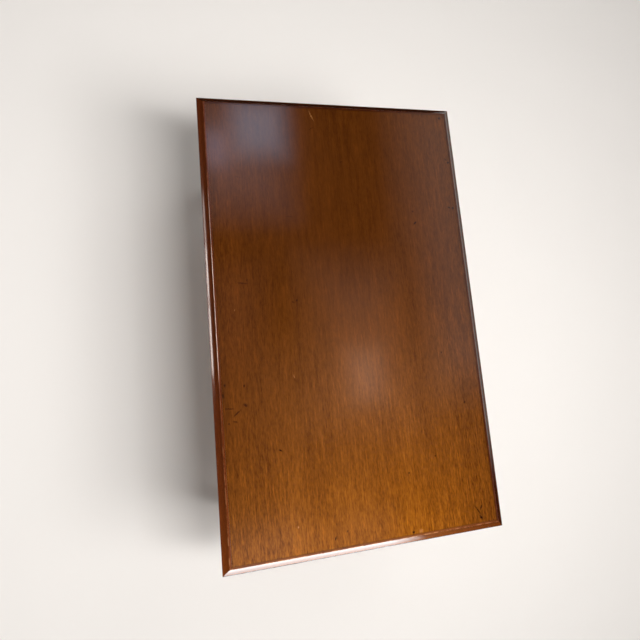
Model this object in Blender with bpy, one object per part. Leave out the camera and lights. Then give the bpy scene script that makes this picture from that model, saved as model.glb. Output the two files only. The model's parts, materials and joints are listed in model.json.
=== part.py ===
"""Cocktail table: a veneered top in a mitred, moulded lipping, on a tenoned frame with four tapered legs.

Metres, +Z up. The origin is on the floor under the middle of the top. +Y runs along the long side, which has
the near end at -Y and the far end at +Y. +X runs across, from the left side to the right side.
"""

import math

import bmesh
import bpy
from mathutils import Matrix, Vector

# Overall size
TOP_LENGTH = 1.160
TOP_WIDTH = 0.710
TABLE_HEIGHT = 0.460

# Clearance between pieces that touch, and all round a piece that sits in a hole
SEAT = 0.0003

# Panel of the top: a core with a veneer on both faces and a tongue on all four edges
CORE_THICK = 0.018
VENEER_THICK = 0.0009
TONGUE_THICK = 0.006
TONGUE_LENGTH = 0.006

# Lipping round the panel: a flat land, a softened arris, a shallow hollow, a round nose and a square edge
LIP_HEIGHT = 0.024
LIP_LAND = 0.003
ARRIS_RADIUS = 0.004
HOLLOW_RADIUS = 0.0452
HOLLOW_STEEP = math.radians(46.0)
HOLLOW_SHALLOW = math.radians(24.0)
NOSE_RADIUS = 0.0025
LOWER_RADIUS = 0.0015
CORNER_RADIUS = 0.0025

# Legs: square, straight down to just under the aprons, then tapered on the two inner faces
OVERHANG = 0.030
LEG_SIZE = 0.048
FOOT_SIZE = 0.031
STRAIGHT_BELOW_APRON = 0.014
LEG_EASE = 0.0015

# Aprons: set back from the legs' faces, with a bead along the lower edge and a groove inside for the buttons
APRON_HEIGHT = 0.075
APRON_THICK = 0.020
APRON_SETBACK = 0.003
BEAD_RADIUS = 0.003
QUIRK_WIDTH = 0.0012
GROOVE_DROP = 0.010
GROOVE_DEPTH = 0.006

# Mortise and tenon joints between aprons and legs
TENON_THICK = 0.007
TENON_SHOULDER_TOP = 0.012
TENON_SHOULDER_LOW = 0.010
MORTISE_WALL = 0.0035

# Bearer across the middle, lap-dovetailed into the side aprons
BEARER_WIDTH = 0.045
BEARER_THICK = 0.022
TAIL_SHOULDER = 0.0085
TAIL_FLARE = 0.004
SOCKET_WALL = 0.008

# Corner blocks, set across the corners of the frame behind the legs
BLOCK_THICK = 0.022
BLOCK_DROP = 0.004
BLOCK_RISE = 0.026

# Buttons that hold the top down on the aprons
BUTTON_LENGTH = 0.042
BUTTON_WIDTH = 0.030
BUTTON_TONGUE_THICK = 0.006
BUTTON_SPACE = 0.001
BUTTON_CHAMFER = 0.005

# Countersunk wood screws
SCREW_RADIUS = 0.002
SCREW_HEAD_RADIUS = 0.004
SCREW_TIP = 0.004
SCREW_COVER = 0.007
BLOCK_SCREW_GRIP = 0.009

# Nail-on glides under the feet
GLIDE_RADIUS = 0.011
GLIDE_THICK = 0.004
GLIDE_BEVEL = 0.0015
NAIL_RADIUS = 0.0013
NAIL_LENGTH = 0.016
NAIL_TIP = 0.004

# How far a cutter runs past the face that it starts from
CUTTER_RUN = 0.006

# Facets of the curves
ARRIS_STEPS = 4
HOLLOW_STEPS = 5
NOSE_STEPS = 4
LOWER_STEPS = 2
CORNER_STEPS = 3
BEAD_STEPS = 6
TURNED_SIDES = 12
SMOOTH_ANGLE = math.radians(35.0)
MERGE_DISTANCE = 1e-6

# Sizes that follow from the ones above
PANEL_THICK = CORE_THICK + 2.0 * (VENEER_THICK + SEAT)
PANEL_UNDERSIDE = TABLE_HEIGHT - PANEL_THICK
CORE_TOP = TABLE_HEIGHT - VENEER_THICK - SEAT
CORE_BOTTOM = CORE_TOP - CORE_THICK
TONGUE_BOTTOM = CORE_BOTTOM + (CORE_THICK - TONGUE_THICK) / 2.0
TONGUE_TOP = TONGUE_BOTTOM + TONGUE_THICK
HOLLOW_WIDTH = HOLLOW_RADIUS * (math.sin(HOLLOW_STEEP) - math.sin(HOLLOW_SHALLOW))
NOSE_WIDTH = NOSE_RADIUS * (1.0 - math.sin(HOLLOW_SHALLOW))
MOULDING_WIDTH = ARRIS_RADIUS * math.sin(HOLLOW_STEEP) + HOLLOW_WIDTH + NOSE_WIDTH
LIP_WIDTH = MOULDING_WIDTH + LIP_LAND
LIP_BOTTOM = TABLE_HEIGHT - LIP_HEIGHT
PANEL_HALF_X = TOP_WIDTH / 2.0 - LIP_WIDTH - SEAT
PANEL_HALF_Y = TOP_LENGTH / 2.0 - LIP_WIDTH - SEAT

LEG_OUTER_X = TOP_WIDTH / 2.0 - OVERHANG
LEG_OUTER_Y = TOP_LENGTH / 2.0 - OVERHANG
LEG_TOP = PANEL_UNDERSIDE - SEAT
LEG_BOTTOM = GLIDE_THICK + SEAT
APRON_TOP = PANEL_UNDERSIDE - SEAT
APRON_BOTTOM = APRON_TOP - APRON_HEIGHT
APRON_INNER = APRON_SETBACK + APRON_THICK
TENON_MIDDLE = APRON_SETBACK + APRON_THICK / 2.0
TENON_TIP = TENON_MIDDLE + TENON_THICK / 2.0 + MORTISE_WALL
TENON_TOP = APRON_TOP - TENON_SHOULDER_TOP
TENON_BOTTOM = APRON_BOTTOM + TENON_SHOULDER_LOW
GROOVE_TOP = APRON_TOP - GROOVE_DROP
GROOVE_BOTTOM = GROOVE_TOP - BUTTON_TONGUE_THICK - 2.0 * SEAT
BUTTON_TONGUE_LENGTH = GROOVE_DEPTH - BUTTON_SPACE
BUTTON_TOP = PANEL_UNDERSIDE - SEAT
BUTTON_TONGUE_TOP = GROOVE_TOP - SEAT
BUTTON_BOTTOM = BUTTON_TONGUE_TOP - BUTTON_TONGUE_THICK
BEARER_TOP = PANEL_UNDERSIDE - SEAT
BEARER_BOTTOM = BEARER_TOP - BEARER_THICK
TAIL_LENGTH = APRON_THICK - SOCKET_WALL
TAIL_NECK = BEARER_WIDTH - 2.0 * TAIL_SHOULDER
TAIL_END = TAIL_NECK + 2.0 * TAIL_FLARE
BLOCK_TOP = APRON_TOP - BLOCK_DROP
BLOCK_BOTTOM = APRON_BOTTOM + BLOCK_RISE
BLOCK_SCREW_LENGTH = BLOCK_SCREW_GRIP + APRON_THICK - SCREW_COVER
TOP_SCREW_POINT = CORE_TOP - SCREW_COVER

SIDES = {"left": -1.0, "right": 1.0}
ENDS = {"near": -1.0, "far": 1.0}


def clear_scene():
    """Take every object out of the scene."""
    for old in list(bpy.data.objects):
        bpy.data.objects.remove(old, do_unlink=True)


def linear(red, green, blue):
    """Colour as a shader takes it, from the 0 to 255 values that an eye would name."""
    channels = []
    for value in (red, green, blue):
        share = value / 255.0
        channels.append(share / 12.92 if share <= 0.04045 else ((share + 0.055) / 1.055) ** 2.4)
    return (*channels, 1.0)


def make_finish(name, colour, roughness, metallic=0.0):
    """One surface finish."""
    finish = bpy.data.materials.new(name)
    finish.use_nodes = True
    shader = finish.node_tree.nodes["Principled BSDF"]
    shader.inputs["Base Color"].default_value = colour
    shader.inputs["Roughness"].default_value = roughness
    shader.inputs["Metallic"].default_value = metallic
    return finish


def make_finishes():
    """The finishes of the table, by name."""
    return {
        "veneer": make_finish("mahogany_veneer", linear(122, 70, 32), 0.28),
        "lipping": make_finish("lipping_mahogany", linear(96, 46, 24), 0.28),
        "frame": make_finish("frame_mahogany", linear(98, 50, 27), 0.34),
        "core": make_finish("core_board", linear(186, 156, 112), 0.75),
        "backing": make_finish("backing_veneer", linear(150, 104, 66), 0.6),
        "beech": make_finish("beech", linear(194, 156, 112), 0.65),
        "screw": make_finish("screw_steel", linear(176, 174, 168), 0.32, 1.0),
        "glide": make_finish("glide_steel", linear(170, 168, 162), 0.25, 1.0),
    }


def make_piece(name, shape, finish, smooth_angle=None):
    """A named piece from a finished bmesh, shaded smooth up to the given angle between faces."""
    bmesh.ops.recalc_face_normals(shape, faces=shape.faces)
    mesh = bpy.data.meshes.new(name)
    shape.to_mesh(mesh)
    shape.free()
    if smooth_angle is not None:
        mesh.shade_smooth()
        mesh.set_sharp_from_angle(angle=smooth_angle)
    if finish is not None:
        mesh.materials.append(finish)
    piece = bpy.data.objects.new(name, mesh)
    bpy.context.scene.collection.objects.link(piece)
    return piece


def make_tool(name, shape):
    """A hidden solid that other pieces are cut with or joined to."""
    tool = make_piece(name, shape, None)
    tool.hide_render = True
    tool.display_type = "WIRE"
    return tool


def shape_with(piece, tool, operation):
    """Cut a piece with a tool, or join the tool to it."""
    change = piece.modifiers.new(tool.name, "BOOLEAN")
    change.operation = operation
    change.solver = "EXACT"
    change.object = tool


def loft(shape, rings):
    """Skin a row of rings, each with as many points as the others, into one closed solid."""
    loops = [[shape.verts.new(point) for point in ring] for ring in rings]
    count = len(loops[0])
    for lower, upper in zip(loops, loops[1:]):
        for start in range(count):
            end = (start + 1) % count
            shape.faces.new((lower[start], lower[end], upper[end], upper[start]))
    shape.faces.new(loops[0])
    shape.faces.new(loops[-1])


def rectangle(low, high, height):
    """Ring of four points round a rectangle, level at a height."""
    corners = ((low[0], low[1]), (high[0], low[1]), (high[0], high[1]), (low[0], high[1]))
    return [Vector((x, y, height)) for x, y in corners]


def eased_rectangle(low, high, height, ease):
    """Ring of eight points round a rectangle whose corners are cut off by the ease."""
    (west, south), (east, north) = low, high
    points = (
        (west + ease, south), (east - ease, south), (east, south + ease), (east, north - ease),
        (east - ease, north), (west + ease, north), (west, north - ease), (west, south + ease),
    )
    return [Vector((x, y, height)) for x, y in points]


def block(shape, low, high):
    """Box between two corners."""
    lower = [min(a, b) for a, b in zip(low, high)]
    upper = [max(a, b) for a, b in zip(low, high)]
    loft(shape, [rectangle(lower, upper, lower[2]), rectangle(lower, upper, upper[2])])


def turned(shape, profile, place):
    """Round solid from (radius, height) points that start and end on its axis, moved to its place."""
    fresh = bmesh.new()
    points = [fresh.verts.new((radius, 0.0, height)) for radius, height in profile]
    edges = [fresh.edges.new(pair) for pair in zip(points, points[1:])]
    bmesh.ops.spin(
        fresh, geom=points + edges, cent=(0.0, 0.0, 0.0), axis=(0.0, 0.0, 1.0),
        angle=2.0 * math.pi, steps=TURNED_SIDES, use_merge=True,
    )
    bmesh.ops.remove_doubles(fresh, verts=fresh.verts, dist=MERGE_DISTANCE)
    bmesh.ops.recalc_face_normals(fresh, faces=fresh.faces)
    fresh.transform(place)
    mesh = bpy.data.meshes.new("turned")
    fresh.to_mesh(mesh)
    fresh.free()
    shape.from_mesh(mesh)
    bpy.data.meshes.remove(mesh)


def aim(point, direction):
    """Place that stands a turned piece on a point, with its own +Z along a direction."""
    turn = Vector((0.0, 0.0, 1.0)).rotation_difference(Vector(direction)).to_matrix().to_4x4()
    return Matrix.Translation(point) @ turn


def bend(points, radius, start, end, steps):
    """Carry a section on along an arc, as its face tilts outwards from start to end, or back in a hollow."""
    side = 1.0 if end > start else -1.0
    inset, height = points[-1]
    for step in range(1, steps + 1):
        tilt = start + (end - start) * step / steps
        across = side * radius * (math.sin(start) - math.sin(tilt))
        rise = side * radius * (math.cos(tilt) - math.cos(start))
        points.append((inset + across, height + rise))


def lipping_moulding():
    """Outer part of the lipping's section, as (distance in from its outer face, height) points."""
    points = [(MOULDING_WIDTH, TABLE_HEIGHT)]
    bend(points, ARRIS_RADIUS, 0.0, HOLLOW_STEEP, ARRIS_STEPS)
    bend(points, HOLLOW_RADIUS, HOLLOW_STEEP, HOLLOW_SHALLOW, HOLLOW_STEPS)
    bend(points, NOSE_RADIUS, HOLLOW_SHALLOW, math.pi / 2.0, NOSE_STEPS)
    points.append((points[-1][0], LIP_BOTTOM + LOWER_RADIUS))
    bend(points, LOWER_RADIUS, math.pi / 2.0, math.pi, LOWER_STEPS)
    return points


def lipping_back():
    """Inner part of the lipping's section, with the groove for the panel's tongue."""
    groove_end = LIP_WIDTH - TONGUE_LENGTH - SEAT
    return [
        (LIP_WIDTH, LIP_BOTTOM),
        (LIP_WIDTH, TONGUE_BOTTOM - SEAT),
        (groove_end, TONGUE_BOTTOM - SEAT),
        (groove_end, TONGUE_TOP + SEAT),
        (LIP_WIDTH, TONGUE_TOP + SEAT),
        (LIP_WIDTH, TABLE_HEIGHT),
    ]


def lipping_rings(half_run, outer, to_world):
    """Rings of one length of lipping, from mitre to mitre: its corners are rounded outside, square inside."""
    section = [(inset, height, CORNER_RADIUS) for inset, height in lipping_moulding()]
    section += [(inset, height, 0.0) for inset, height in lipping_back()]
    turns = [math.pi / 4.0 * step / CORNER_STEPS for step in range(CORNER_STEPS + 1)]
    stops = [(-1.0, angle) for angle in reversed(turns)] + [(1.0, angle) for angle in turns]
    mitre_gap = SEAT / math.sqrt(2.0)
    rings = []
    for end, angle in stops:
        ring = []
        for inset, height, radius in section:
            run = half_run - mitre_gap - inset - radius * (1.0 - math.sin(angle))
            depth = inset + radius * (1.0 - math.cos(angle))
            ring.append(Vector(to_world(end * run, outer - math.copysign(depth, outer), height)))
        rings.append(ring)
    return rings


def make_lipping(name, half_run, outer, to_world, finish):
    """One length of moulded lipping."""
    shape = bmesh.new()
    loft(shape, lipping_rings(half_run, outer, to_world))
    bmesh.ops.remove_doubles(shape, verts=shape.verts, dist=MERGE_DISTANCE)
    make_piece(f"lipping_{name}", shape, finish, SMOOTH_ANGLE)


def make_lippings(finish):
    """Four lengths of moulded lipping, mitred at the corners."""
    for name, sign in SIDES.items():
        make_lipping(
            f"{name}_side", TOP_LENGTH / 2.0, sign * TOP_WIDTH / 2.0,
            lambda run, across, height: (across, run, height), finish,
        )
    for name, sign in ENDS.items():
        make_lipping(
            f"{name}_end", TOP_WIDTH / 2.0, sign * TOP_LENGTH / 2.0,
            lambda run, across, height: (run, across, height), finish,
        )


def panel_ring(grow, height):
    """Ring round the panel's outline, grown outwards."""
    half_x = PANEL_HALF_X + grow
    half_y = PANEL_HALF_Y + grow
    return rectangle((-half_x, -half_y), (half_x, half_y), height)


def make_panel(finishes, drills):
    """Core with its tongue, and the veneers on its faces."""
    core = bmesh.new()
    loft(core, [
        panel_ring(0.0, CORE_BOTTOM),
        panel_ring(0.0, TONGUE_BOTTOM),
        panel_ring(TONGUE_LENGTH, TONGUE_BOTTOM),
        panel_ring(TONGUE_LENGTH, TONGUE_TOP),
        panel_ring(0.0, TONGUE_TOP),
        panel_ring(0.0, CORE_TOP),
    ])
    shape_with(make_piece("panel_core", core, finishes["core"]), drills, "DIFFERENCE")
    face = bmesh.new()
    loft(face, [panel_ring(0.0, TABLE_HEIGHT - VENEER_THICK), panel_ring(0.0, TABLE_HEIGHT)])
    make_piece("face_veneer", face, finishes["veneer"])
    back = bmesh.new()
    loft(back, [panel_ring(0.0, PANEL_UNDERSIDE), panel_ring(0.0, PANEL_UNDERSIDE + VENEER_THICK)])
    shape_with(make_piece("backing_veneer", back, finishes["backing"]), drills, "DIFFERENCE")


def leg_ring(side, end, size, height, inset=0.0):
    """Ring round a leg, drawn in by an inset. The outer faces stay in line; the size moves the inner ones."""
    outer = (side * (LEG_OUTER_X - inset), end * (LEG_OUTER_Y - inset))
    inner = (side * (LEG_OUTER_X - size + inset), end * (LEG_OUTER_Y - size + inset))
    low = [min(pair) for pair in zip(outer, inner)]
    high = [max(pair) for pair in zip(outer, inner)]
    return eased_rectangle(low, high, height, LEG_EASE)


def make_leg(name, side, end, finish):
    """Tapered leg with two mortises near its top and a nail hole in its foot."""
    taper_start = APRON_BOTTOM - STRAIGHT_BELOW_APRON
    shape = bmesh.new()
    loft(shape, [
        leg_ring(side, end, FOOT_SIZE, LEG_BOTTOM, LEG_EASE),
        leg_ring(side, end, FOOT_SIZE, LEG_BOTTOM + LEG_EASE),
        leg_ring(side, end, LEG_SIZE, taper_start),
        leg_ring(side, end, LEG_SIZE, LEG_TOP),
    ])
    leg = make_piece(f"leg_{name}", shape, finish)

    half = TENON_THICK / 2.0 + SEAT
    mouth = LEG_SIZE + CUTTER_RUN
    stop = TENON_TIP - SEAT
    low, high = TENON_BOTTOM - SEAT, TENON_TOP + SEAT
    cuts = bmesh.new()
    block(
        cuts,
        (side * (LEG_OUTER_X - TENON_MIDDLE - half), end * (LEG_OUTER_Y - mouth), low),
        (side * (LEG_OUTER_X - TENON_MIDDLE + half), end * (LEG_OUTER_Y - stop), high),
    )
    block(
        cuts,
        (side * (LEG_OUTER_X - mouth), end * (LEG_OUTER_Y - TENON_MIDDLE - half), low),
        (side * (LEG_OUTER_X - stop), end * (LEG_OUTER_Y - TENON_MIDDLE + half), high),
    )
    nail_hole = [
        (0.0, 0.0),
        (NAIL_RADIUS + SEAT, 0.0),
        (NAIL_RADIUS + SEAT, GLIDE_THICK + NAIL_LENGTH - NAIL_TIP),
        (0.0, GLIDE_THICK + NAIL_LENGTH + SEAT),
    ]
    turned(cuts, nail_hole, Matrix.Translation(foot_middle(side, end)))
    shape_with(leg, make_tool(f"cut_leg_{name}", cuts), "DIFFERENCE")


def foot_middle(side, end):
    """Point on the floor under the middle of a foot."""
    inset = FOOT_SIZE / 2.0
    return Vector((side * (LEG_OUTER_X - inset), end * (LEG_OUTER_Y - inset), 0.0))


def make_glide(name, side, end, finish):
    """Round glide with its nail."""
    shape = bmesh.new()
    profile = [
        (0.0, 0.0),
        (GLIDE_RADIUS - GLIDE_BEVEL, 0.0),
        (GLIDE_RADIUS, GLIDE_BEVEL),
        (GLIDE_RADIUS, GLIDE_THICK),
        (NAIL_RADIUS, GLIDE_THICK),
        (NAIL_RADIUS, GLIDE_THICK + NAIL_LENGTH - NAIL_TIP),
        (0.0, GLIDE_THICK + NAIL_LENGTH),
    ]
    turned(shape, profile, Matrix.Translation(foot_middle(side, end)))
    make_piece(f"glide_{name}", shape, finish, SMOOTH_ANGLE)


def apron_section():
    """Section of an apron as (distance in from its outer face, height) points."""
    bead_top = APRON_BOTTOM + 2.0 * BEAD_RADIUS
    points = [(0.0, APRON_TOP), (0.0, bead_top + QUIRK_WIDTH), (BEAD_RADIUS, bead_top)]
    bend(points, BEAD_RADIUS, 0.0, math.pi, BEAD_STEPS)
    groove = APRON_THICK - GROOVE_DEPTH
    points += [
        (APRON_THICK, APRON_BOTTOM),
        (APRON_THICK, GROOVE_BOTTOM),
        (groove, GROOVE_BOTTOM),
        (groove, GROOVE_TOP),
        (APRON_THICK, GROOVE_TOP),
        (APRON_THICK, APRON_TOP),
    ]
    return points


def make_apron(name, half_run, tenon_reach, outer, to_world, finish, cuts):
    """Apron along one side of the frame: the moulded board, its two tenons and the cuts in it."""
    section = apron_section()
    shape = bmesh.new()
    rings = []
    for run in (-half_run, half_run):
        rings.append([
            Vector(to_world(run, outer - math.copysign(inset, outer), height)) for inset, height in section
        ])
    loft(shape, rings)
    apron = make_piece(f"apron_{name}", shape, finish, SMOOTH_ANGLE)

    tenons = bmesh.new()
    middle = outer - math.copysign(APRON_THICK / 2.0, outer)
    for end in (-1.0, 1.0):
        root = end * (half_run - CUTTER_RUN)
        tip = end * tenon_reach
        block(
            tenons,
            to_world(root, middle - TENON_THICK / 2.0, TENON_BOTTOM),
            to_world(tip, middle + TENON_THICK / 2.0, TENON_TOP),
        )
    shape_with(apron, make_tool(f"tenons_{name}", tenons), "UNION")
    for tool in cuts:
        shape_with(apron, tool, "DIFFERENCE")


def make_aprons(finish, corner_drills, sockets):
    """Two long aprons along the sides and two short ones across the ends."""
    for name, sign in SIDES.items():
        make_apron(
            f"{name}_side", LEG_OUTER_Y - LEG_SIZE - SEAT, LEG_OUTER_Y - TENON_TIP,
            sign * (LEG_OUTER_X - APRON_SETBACK),
            lambda run, across, height: (across, run, height), finish, [sockets, corner_drills],
        )
    for name, sign in ENDS.items():
        make_apron(
            f"{name}_end", LEG_OUTER_X - LEG_SIZE - SEAT, LEG_OUTER_X - TENON_TIP,
            sign * (LEG_OUTER_Y - APRON_SETBACK),
            lambda run, across, height: (run, across, height), finish, [corner_drills],
        )


def bearer_outline(grow):
    """Plan of the bearer with a dovetail at each end, grown outwards by a clearance."""
    shoulder = LEG_OUTER_X - APRON_INNER - SEAT
    tip = shoulder + SEAT + TAIL_LENGTH + grow
    half_width = BEARER_WIDTH / 2.0
    half_neck = TAIL_NECK / 2.0 + grow
    half_end = TAIL_END / 2.0 + grow
    quarter = [(shoulder, half_width), (shoulder, half_neck), (tip, half_end)]
    points = [(x, y) for x, y in quarter]
    points += [(x, -y) for x, y in reversed(quarter)]
    points += [(-x, -y) for x, y in quarter]
    points += [(-x, y) for x, y in reversed(quarter)]
    return points


def make_bearer(finish, drills):
    """Bearer under the middle of the top."""
    shape = bmesh.new()
    outline = bearer_outline(0.0)
    loft(shape, [[Vector((x, y, height)) for x, y in outline] for height in (BEARER_BOTTOM, BEARER_TOP)])
    shape_with(make_piece("bearer", shape, finish), drills, "DIFFERENCE")


def make_sockets():
    """Cutter for the bearer's dovetail sockets, open at the aprons' top edges."""
    shape = bmesh.new()
    outline = bearer_outline(SEAT)
    heights = (BEARER_BOTTOM - SEAT, APRON_TOP + CUTTER_RUN)
    loft(shape, [[Vector((x, y, height)) for x, y in outline] for height in heights])
    return make_tool("cut_bearer_sockets", shape)


def make_corner_block(name, side, end, finish, drills):
    """Block across one corner, square to the diagonal, with its ends against the two aprons."""
    near_line = 2.0 * LEG_SIZE + SEAT * math.sqrt(2.0)
    far_line = near_line + BLOCK_THICK * math.sqrt(2.0)
    face = APRON_INNER + SEAT
    corners = (
        (face, near_line - face), (face, far_line - face), (far_line - face, face), (near_line - face, face),
    )
    rings = []
    for height in (BLOCK_BOTTOM, BLOCK_TOP):
        rings.append([
            Vector((side * (LEG_OUTER_X - u), end * (LEG_OUTER_Y - v), height)) for u, v in corners
        ])
    shape = bmesh.new()
    loft(shape, rings)
    shape_with(make_piece(f"corner_block_{name}", shape, finish), drills, "DIFFERENCE")


def corner_screw_places(side, end):
    """Places of the two screws of a corner block: into the side apron and into the end apron."""
    along = 2.0 * LEG_SIZE + BLOCK_THICK / math.sqrt(2.0) - APRON_INNER
    head = APRON_INNER + BLOCK_SCREW_GRIP
    height = (BLOCK_BOTTOM + BLOCK_TOP) / 2.0
    into_side = Vector((side * (LEG_OUTER_X - head), end * (LEG_OUTER_Y - along), height))
    into_end = Vector((side * (LEG_OUTER_X - along), end * (LEG_OUTER_Y - head), height))
    return {
        "side": aim(into_side, (side, 0.0, 0.0)),
        "end": aim(into_end, (0.0, end, 0.0)),
    }


def screw_profile(length, grow):
    """Countersunk screw from its head up to its point, grown outwards by a clearance."""
    shank = SCREW_RADIUS + grow
    head = SCREW_HEAD_RADIUS + grow
    return [
        (head, 0.0),
        (shank, head - shank),
        (shank, length - SCREW_TIP),
        (0.0, length + grow),
    ]


def make_screw(name, place, length, finish):
    """One wood screw."""
    shape = bmesh.new()
    turned(shape, [(0.0, 0.0)] + screw_profile(length, 0.0), place)
    make_piece(name, shape, finish, SMOOTH_ANGLE)


def add_drill(shape, place, length):
    """Hole for a screw, as deep as the screw and open behind its head."""
    head = SCREW_HEAD_RADIUS + SEAT
    behind = -BLOCK_THICK - CUTTER_RUN
    turned(shape, [(0.0, behind), (head, behind)] + screw_profile(length, SEAT), place)


def make_corner_screws(finish):
    """Eight screws that hold the corner blocks to the aprons, and the cutter for their holes."""
    drills = bmesh.new()
    for end_name, end in ENDS.items():
        for side_name, side in SIDES.items():
            for apron, place in corner_screw_places(side, end).items():
                name = f"corner_screw_{end_name}_{side_name}_{apron}"
                make_screw(name, place, BLOCK_SCREW_LENGTH, finish)
                add_drill(drills, place, BLOCK_SCREW_LENGTH)
    return make_tool("cut_corner_screws", drills)


def button_seats():
    """Where each button stands: a point under its apron's inner face, and the direction into the frame."""
    inner_x = LEG_OUTER_X - APRON_INNER
    inner_y = LEG_OUTER_Y - APRON_INNER
    side_spot = (LEG_OUTER_Y - LEG_SIZE) / 2.0
    end_spot = (LEG_OUTER_X - LEG_SIZE) / 2.0
    seats = {}
    for side_name, side in SIDES.items():
        for end_name, end in ENDS.items():
            seats[f"{side_name}_side_{end_name}"] = ((side * inner_x, end * side_spot), (-side, 0.0))
            seats[f"{end_name}_end_{side_name}"] = ((side * end_spot, end * inner_y), (0.0, -end))
    return seats


def make_button(name, seat, inward, finish, drills):
    """Rebated block whose tongue sits in the apron's groove."""
    section = [
        (-BUTTON_TONGUE_LENGTH, BUTTON_TONGUE_TOP),
        (BUTTON_SPACE, BUTTON_TONGUE_TOP),
        (BUTTON_SPACE, BUTTON_TOP),
        (BUTTON_LENGTH, BUTTON_TOP),
        (BUTTON_LENGTH, BUTTON_BOTTOM + BUTTON_CHAMFER),
        (BUTTON_LENGTH - BUTTON_CHAMFER, BUTTON_BOTTOM),
        (-BUTTON_TONGUE_LENGTH, BUTTON_BOTTOM),
    ]
    along = (-inward[1], inward[0])
    rings = []
    for half in (-BUTTON_WIDTH / 2.0, BUTTON_WIDTH / 2.0):
        rings.append([
            Vector((
                seat[0] + inward[0] * reach + along[0] * half,
                seat[1] + inward[1] * reach + along[1] * half,
                height,
            ))
            for reach, height in section
        ])
    shape = bmesh.new()
    loft(shape, rings)
    shape_with(make_piece(f"button_{name}", shape, finish), drills, "DIFFERENCE")


def make_top_screws(finish):
    """Screws driven up into the core through the buttons and the bearer, and the cutter for their holes."""
    places = {}
    screw_reach = (BUTTON_SPACE + BUTTON_LENGTH) / 2.0
    for name, (seat, inward) in button_seats().items():
        spot = (seat[0] + inward[0] * screw_reach, seat[1] + inward[1] * screw_reach)
        places[f"button_screw_{name}"] = (spot, BUTTON_BOTTOM)
    bearer_spot = (LEG_OUTER_X - APRON_INNER) / 2.0
    for name, sign in SIDES.items():
        places[f"bearer_screw_{name}"] = ((sign * bearer_spot, 0.0), BEARER_BOTTOM)
    drills = bmesh.new()
    for name, (spot, head) in places.items():
        place = Matrix.Translation((*spot, head))
        make_screw(name, place, TOP_SCREW_POINT - head, finish)
        add_drill(drills, place, TOP_SCREW_POINT - head)
    return make_tool("cut_top_screws", drills)


def main():
    clear_scene()
    finishes = make_finishes()
    corner_drills = make_corner_screws(finishes["screw"])
    top_drills = make_top_screws(finishes["screw"])
    sockets = make_sockets()
    make_panel(finishes, top_drills)
    make_lippings(finishes["lipping"])
    make_aprons(finishes["frame"], corner_drills, sockets)
    make_bearer(finishes["beech"], top_drills)
    for end_name, end in ENDS.items():
        for side_name, side in SIDES.items():
            corner = f"{end_name}_{side_name}"
            make_leg(corner, side, end, finishes["frame"])
            make_glide(corner, side, end, finishes["glide"])
            make_corner_block(corner, side, end, finishes["beech"], corner_drills)
    for name, (seat, inward) in button_seats().items():
        make_button(name, seat, inward, finishes["beech"], top_drills)


main()
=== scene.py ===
"""Looks of the cocktail table: a mahogany top with a mitred, hollow-moulded lipping, on a tapered frame.

Metres, +Z up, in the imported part's own frame: the near end is at -Y and the left side at -X.
"""

import json
import math

import bmesh
import bpy
from mathutils import Euler, Matrix, Vector

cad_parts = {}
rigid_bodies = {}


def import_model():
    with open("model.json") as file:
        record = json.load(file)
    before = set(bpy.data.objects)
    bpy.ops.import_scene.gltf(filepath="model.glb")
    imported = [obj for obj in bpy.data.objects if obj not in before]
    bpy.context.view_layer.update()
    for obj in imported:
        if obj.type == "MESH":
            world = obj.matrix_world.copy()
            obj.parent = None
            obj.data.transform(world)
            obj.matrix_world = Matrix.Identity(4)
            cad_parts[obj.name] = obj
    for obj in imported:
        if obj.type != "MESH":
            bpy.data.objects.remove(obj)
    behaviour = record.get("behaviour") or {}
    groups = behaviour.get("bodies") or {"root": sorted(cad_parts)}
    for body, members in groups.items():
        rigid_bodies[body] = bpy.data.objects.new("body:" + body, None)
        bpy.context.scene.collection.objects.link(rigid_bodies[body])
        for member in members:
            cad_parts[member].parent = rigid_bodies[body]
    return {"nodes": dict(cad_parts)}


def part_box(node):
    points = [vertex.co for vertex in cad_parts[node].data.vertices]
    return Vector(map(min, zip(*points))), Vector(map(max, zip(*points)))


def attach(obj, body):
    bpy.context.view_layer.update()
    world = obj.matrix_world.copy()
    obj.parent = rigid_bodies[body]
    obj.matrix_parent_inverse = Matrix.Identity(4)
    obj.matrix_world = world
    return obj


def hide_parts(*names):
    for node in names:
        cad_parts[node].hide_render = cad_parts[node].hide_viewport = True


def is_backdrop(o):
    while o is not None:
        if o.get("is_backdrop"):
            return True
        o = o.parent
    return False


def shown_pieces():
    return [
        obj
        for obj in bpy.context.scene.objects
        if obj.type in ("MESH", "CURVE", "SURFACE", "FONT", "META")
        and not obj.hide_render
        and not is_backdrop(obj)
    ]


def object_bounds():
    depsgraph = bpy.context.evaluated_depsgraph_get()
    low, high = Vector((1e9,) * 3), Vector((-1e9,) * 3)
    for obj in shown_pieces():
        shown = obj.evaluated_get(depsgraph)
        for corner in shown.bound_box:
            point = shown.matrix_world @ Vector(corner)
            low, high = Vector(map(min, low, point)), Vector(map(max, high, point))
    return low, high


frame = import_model()
CAD_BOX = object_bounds()

# The top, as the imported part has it
HALF_X, HALF_Y, TABLE_TOP = CAD_BOX[1]
LIP_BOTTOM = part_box("lipping_near_end")[0].z
VENEER_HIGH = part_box("face_veneer")[1]
CORE_LOW, CORE_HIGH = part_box("panel_core")

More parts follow.
